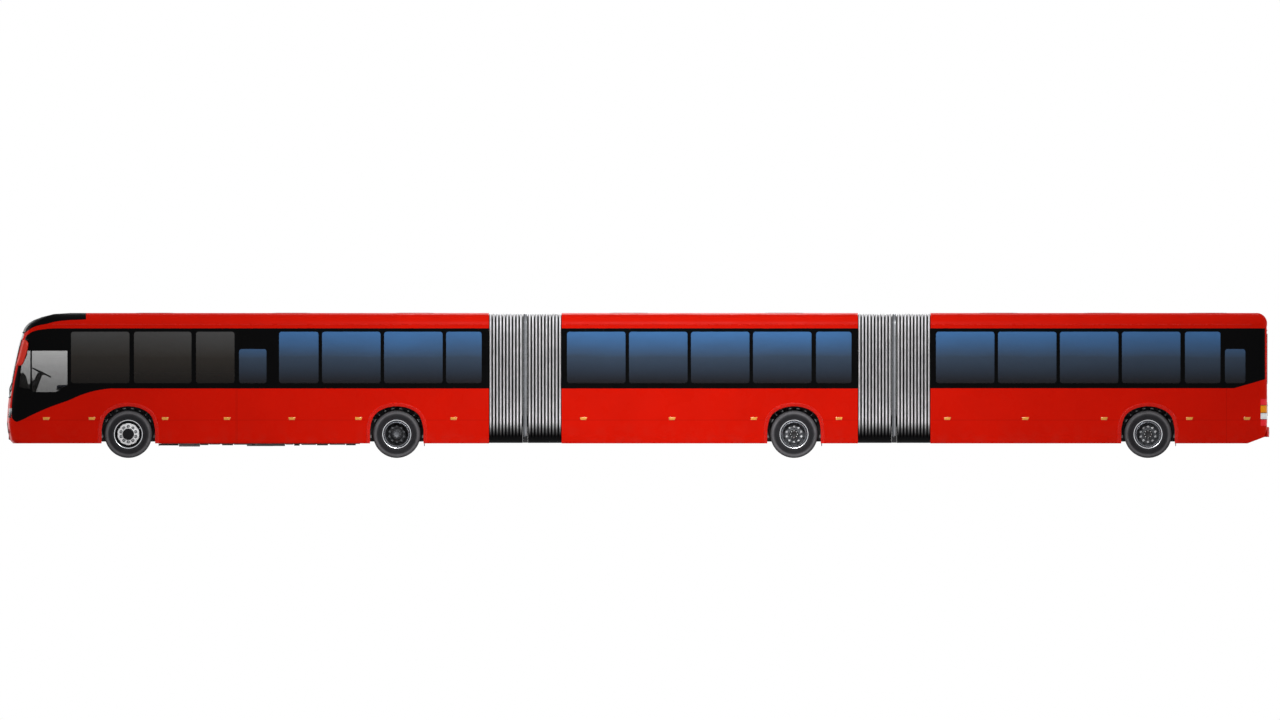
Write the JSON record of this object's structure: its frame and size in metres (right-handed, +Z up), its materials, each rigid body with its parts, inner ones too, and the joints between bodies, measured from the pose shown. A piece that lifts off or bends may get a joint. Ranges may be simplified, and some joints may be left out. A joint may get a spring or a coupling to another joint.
{
  "type": "bi-articulated bus",
  "caption": "Long high-floor city bus in cars joined by turntables inside bellows, with steered front wheels, twin wheels behind and folding doors on the right",
  "frame": {"origin": "on the ground, midway along and across the bus", "axes": "the nose points to -X, the driver's side is -Y, +Z is up"},
  "size_m": [27.677, 3.01, 3.1801],
  "materials": {
    "front_left_side": "gloss red enamel",
    "front_right_side": "gloss red enamel",
    "front_roof": "gloss red enamel",
    "nose": "gloss red moulding",
    "windscreen": "laminated glass",
    "headlamps": "clear lens",
    "front_windows": "tinted glass",
    "front_floor": "sheet flooring",
    "front_underframe": "satin black frame",
    "front_seats": "moulded seats",
    "powertrain": "painted casting",
    "underfloor_boxes": "satin grey",
    "front_axle": "painted casting",
    "drive_axle": "painted casting",
    "cockpit": "grained moulding",
    "mirrors": "gloss red housings",
    "middle_left_side": "gloss red enamel",
    "middle_right_side": "gloss red enamel",
    "middle_roof": "gloss red enamel",
    "middle_windows": "tinted glass",
    "middle_floor": "sheet flooring",
    "middle_underframe": "satin black frame",
    "middle_seats": "moulded seats",
    "middle_axle": "painted casting",
    "rear_left_side": "gloss red enamel",
    "rear_right_side": "gloss red enamel",
    "rear_roof": "gloss red enamel",
    "rear_panel": "gloss red moulding",
    "tail_lamps": "lamp lens",
    "rear_windows": "tinted glass",
    "rear_floor": "sheet flooring",
    "rear_underframe": "satin black frame",
    "rear_seats": "moulded seats",
    "rear_axle": "painted casting",
    "front_joint_hoop": "satin section",
    "front_bellows": "coated fabric",
    "rear_joint_hoop": "satin section",
    "rear_bellows": "coated fabric",
    "left_knuckle": "painted casting",
    "right_knuckle": "painted casting",
    "track_rod": "satin black tube",
    "steering_wheel": "soft grip",
    "front_left_wheel": "tyre on a steel rim",
    "front_right_wheel": "tyre on a steel rim",
    "drive_left_wheels": "tyres on steel rims",
    "drive_right_wheels": "tyres on steel rims",
    "middle_left_wheels": "tyres on steel rims",
    "middle_right_wheels": "tyres on steel rims",
    "rear_left_wheels": "tyres on steel rims",
    "rear_right_wheels": "tyres on steel rims",
    "first_door_fore_leaf": "black door leaf",
    "first_door_aft_leaf": "black door leaf",
    "second_door_fore_leaf": "black door leaf",
    "second_door_aft_leaf": "black door leaf",
    "third_door_fore_leaf": "black door leaf",
    "third_door_aft_leaf": "black door leaf",
    "fourth_door_fore_leaf": "black door leaf",
    "fourth_door_aft_leaf": "black door leaf"
  },
  "bodies": {
    "front_car": {"front_left_side": "front_left_side", "front_right_side": "front_right_side", "front_roof": "front_roof", "nose": "nose", "windscreen": "windscreen", "headlamps": "headlamps", "front_windows": "front_windows", "front_floor": "front_floor", "front_underframe": "front_underframe", "front_seats": "front_seats", "powertrain": "powertrain", "underfloor_boxes": "underfloor_boxes", "front_axle": "front_axle", "drive_axle": "drive_axle", "cockpit": "cockpit", "mirrors": "mirrors"},
    "middle_car": {"middle_left_side": "middle_left_side", "middle_right_side": "middle_right_side", "middle_roof": "middle_roof", "middle_windows": "middle_windows", "middle_floor": "middle_floor", "middle_underframe": "middle_underframe", "middle_seats": "middle_seats", "middle_axle": "middle_axle"},
    "rear_car": {"rear_left_side": "rear_left_side", "rear_right_side": "rear_right_side", "rear_roof": "rear_roof", "rear_panel": "rear_panel", "tail_lamps": "tail_lamps", "rear_windows": "rear_windows", "rear_floor": "rear_floor", "rear_underframe": "rear_underframe", "rear_seats": "rear_seats", "rear_axle": "rear_axle"},
    "front_joint": {"front_joint_hoop": "front_joint_hoop", "front_bellows": "front_bellows"},
    "rear_joint": {"rear_joint_hoop": "rear_joint_hoop", "rear_bellows": "rear_bellows"},
    "left_knuckle": {"left_knuckle": "left_knuckle"},
    "right_knuckle": {"right_knuckle": "right_knuckle"},
    "track_rod": {"track_rod": "track_rod"},
    "steering_wheel": {"steering_wheel": "steering_wheel"},
    "front_left_wheel": {"front_left_wheel": "front_left_wheel"},
    "front_right_wheel": {"front_right_wheel": "front_right_wheel"},
    "drive_left_wheels": {"drive_left_wheels": "drive_left_wheels"},
    "drive_right_wheels": {"drive_right_wheels": "drive_right_wheels"},
    "middle_left_wheels": {"middle_left_wheels": "middle_left_wheels"},
    "middle_right_wheels": {"middle_right_wheels": "middle_right_wheels"},
    "rear_left_wheels": {"rear_left_wheels": "rear_left_wheels"},
    "rear_right_wheels": {"rear_right_wheels": "rear_right_wheels"},
    "first_door_fore_leaf": {"first_door_fore_leaf": "first_door_fore_leaf"},
    "first_door_aft_leaf": {"first_door_aft_leaf": "first_door_aft_leaf"},
    "second_door_fore_leaf": {"second_door_fore_leaf": "second_door_fore_leaf"},
    "second_door_aft_leaf": {"second_door_aft_leaf": "second_door_aft_leaf"},
    "third_door_fore_leaf": {"third_door_fore_leaf": "third_door_fore_leaf"},
    "third_door_aft_leaf": {"third_door_aft_leaf": "third_door_aft_leaf"},
    "fourth_door_fore_leaf": {"fourth_door_fore_leaf": "fourth_door_fore_leaf"},
    "fourth_door_aft_leaf": {"fourth_door_aft_leaf": "fourth_door_aft_leaf"}
  },
  "joints": [
    {"name": "front_articulation", "type": "hinge", "parent": "front_car", "child": "middle_car", "pos_m": [-2.4725, 0, 0], "axis": [0, 0, 1], "range_deg": [-45, 45]},
    {"name": "rear_articulation", "type": "hinge", "parent": "middle_car", "child": "rear_car", "pos_m": [5.6175, 0, 0], "axis": [0, 0, 1], "range_deg": [-45, 45]},
    {"name": "front_hoop_turn", "type": "hinge", "parent": "front_car", "child": "front_joint", "pos_m": [-2.4725, 0, 0], "axis": [0, 0, 1], "range_deg": [-22.5, 22.5], "deforming": ["front_bellows"]},
    {"name": "rear_hoop_turn", "type": "hinge", "parent": "middle_car", "child": "rear_joint", "pos_m": [5.6175, 0, 0], "axis": [0, 0, 1], "range_deg": [-22.5, 22.5], "deforming": ["rear_bellows"]},
    {"name": "left_steering", "type": "hinge", "parent": "front_car", "child": "left_knuckle", "pos_m": [-11.1765, -0.9, 0], "axis": [0, 0, 1], "range_deg": [-40, 40]},
    {"name": "right_steering", "type": "hinge", "parent": "front_car", "child": "right_knuckle", "pos_m": [-11.1765, 0.9, 0], "axis": [0, 0, 1], "range_deg": [-40, 40]},
    {"name": "track_rod_turn", "type": "hinge", "parent": "left_knuckle", "child": "track_rod", "pos_m": [-10.9665, -0.9, 0], "axis": [0, 0, 1], "range_deg": [-40, 40]},
    {"name": "steering_wheel_turn", "type": "hinge", "parent": "front_car", "child": "steering_wheel", "pos_m": [-13.0805, -0.64, 1.875], "axis": [0.4664, 0, 0.8846], "range_deg": [-720, 720]},
    {"name": "front_left_wheel_spin", "type": "hinge", "parent": "left_knuckle", "child": "front_left_wheel", "pos_m": [-11.1765, 0, 0.522], "axis": [0, 1, 0], "continuous": true},
    {"name": "front_right_wheel_spin", "type": "hinge", "parent": "right_knuckle", "child": "front_right_wheel", "pos_m": [-11.1765, 0, 0.522], "axis": [0, 1, 0], "continuous": true},
    {"name": "drive_left_wheels_spin", "type": "hinge", "parent": "front_car", "child": "drive_left_wheels", "pos_m": [-5.2905, 0, 0.522], "axis": [0, 1, 0], "continuous": true},
    {"name": "drive_right_wheels_spin", "type": "hinge", "parent": "front_car", "child": "drive_right_wheels", "pos_m": [-5.2905, 0, 0.522], "axis": [0, 1, 0], "continuous": true},
    {"name": "middle_left_wheels_spin", "type": "hinge", "parent": "middle_car", "child": "middle_left_wheels", "pos_m": [3.4215, 0, 0.522], "axis": [0, 1, 0], "continuous": true},
    {"name": "middle_right_wheels_spin", "type": "hinge", "parent": "middle_car", "child": "middle_right_wheels", "pos_m": [3.4215, 0, 0.522], "axis": [0, 1, 0], "continuous": true},
    {"name": "rear_left_wheels_spin", "type": "hinge", "parent": "rear_car", "child": "rear_left_wheels", "pos_m": [11.1845, 0, 0.522], "axis": [0, 1, 0], "continuous": true},
    {"name": "rear_right_wheels_spin", "type": "hinge", "parent": "rear_car", "child": "rear_right_wheels", "pos_m": [11.1845, 0, 0.522], "axis": [0, 1, 0], "continuous": true},
    {"name": "first_door_fore_leaf_hinge", "type": "hinge", "parent": "front_car", "child": "first_door_fore_leaf", "pos_m": [-10.4065, 1.25, 0], "axis": [0, 0, 1], "range_deg": [-88, 0]},
    {"name": "first_door_aft_leaf_hinge", "type": "hinge", "parent": "front_car", "child": "first_door_aft_leaf", "pos_m": [-9.2165, 1.25, 0], "axis": [0, 0, 1], "range_deg": [0, 88]},
    {"name": "second_door_fore_leaf_hinge", "type": "hinge", "parent": "front_car", "child": "second_door_fore_leaf", "pos_m": [-7.8105, 1.25, 0], "axis": [0, 0, 1], "range_deg": [-88, 0]},
    {"name": "second_door_aft_leaf_hinge", "type": "hinge", "parent": "front_car", "child": "second_door_aft_leaf", "pos_m": [-6.6205, 1.25, 0], "axis": [0, 0, 1], "range_deg": [0, 88]},
    {"name": "third_door_fore_leaf_hinge", "type": "hinge", "parent": "middle_car", "child": "third_door_fore_leaf", "pos_m": [1.0515, 1.25, 0], "axis": [0, 0, 1], "range_deg": [-88, 0]},
    {"name": "third_door_aft_leaf_hinge", "type": "hinge", "parent": "middle_car", "child": "third_door_aft_leaf", "pos_m": [2.2415, 1.25, 0], "axis": [0, 0, 1], "range_deg": [0, 88]},
    {"name": "fourth_door_fore_leaf_hinge", "type": "hinge", "parent": "rear_car", "child": "fourth_door_fore_leaf", "pos_m": [7.9285, 1.25, 0], "axis": [0, 0, 1], "range_deg": [-88, 0]},
    {"name": "fourth_door_aft_leaf_hinge", "type": "hinge", "parent": "rear_car", "child": "fourth_door_aft_leaf", "pos_m": [9.1185, 1.25, 0], "axis": [0, 0, 1], "range_deg": [0, 88]}
  ],
  "couplings": [
    {"joint": "front_hoop_turn", "follows": "front_articulation", "ratio": 0.5},
    {"joint": "rear_hoop_turn", "follows": "rear_articulation", "ratio": 0.5},
    {"joint": "right_steering", "follows": "left_steering", "ratio": 1},
    {"joint": "track_rod_turn", "follows": "left_steering", "ratio": -1},
    {"joint": "steering_wheel_turn", "follows": "left_steering", "ratio": 18},
    {"joint": "first_door_aft_leaf_hinge", "follows": "first_door_fore_leaf_hinge", "ratio": -1},
    {"joint": "second_door_aft_leaf_hinge", "follows": "second_door_fore_leaf_hinge", "ratio": -1},
    {"joint": "third_door_aft_leaf_hinge", "follows": "third_door_fore_leaf_hinge", "ratio": -1},
    {"joint": "fourth_door_aft_leaf_hinge", "follows": "fourth_door_fore_leaf_hinge", "ratio": -1}
  ]
}
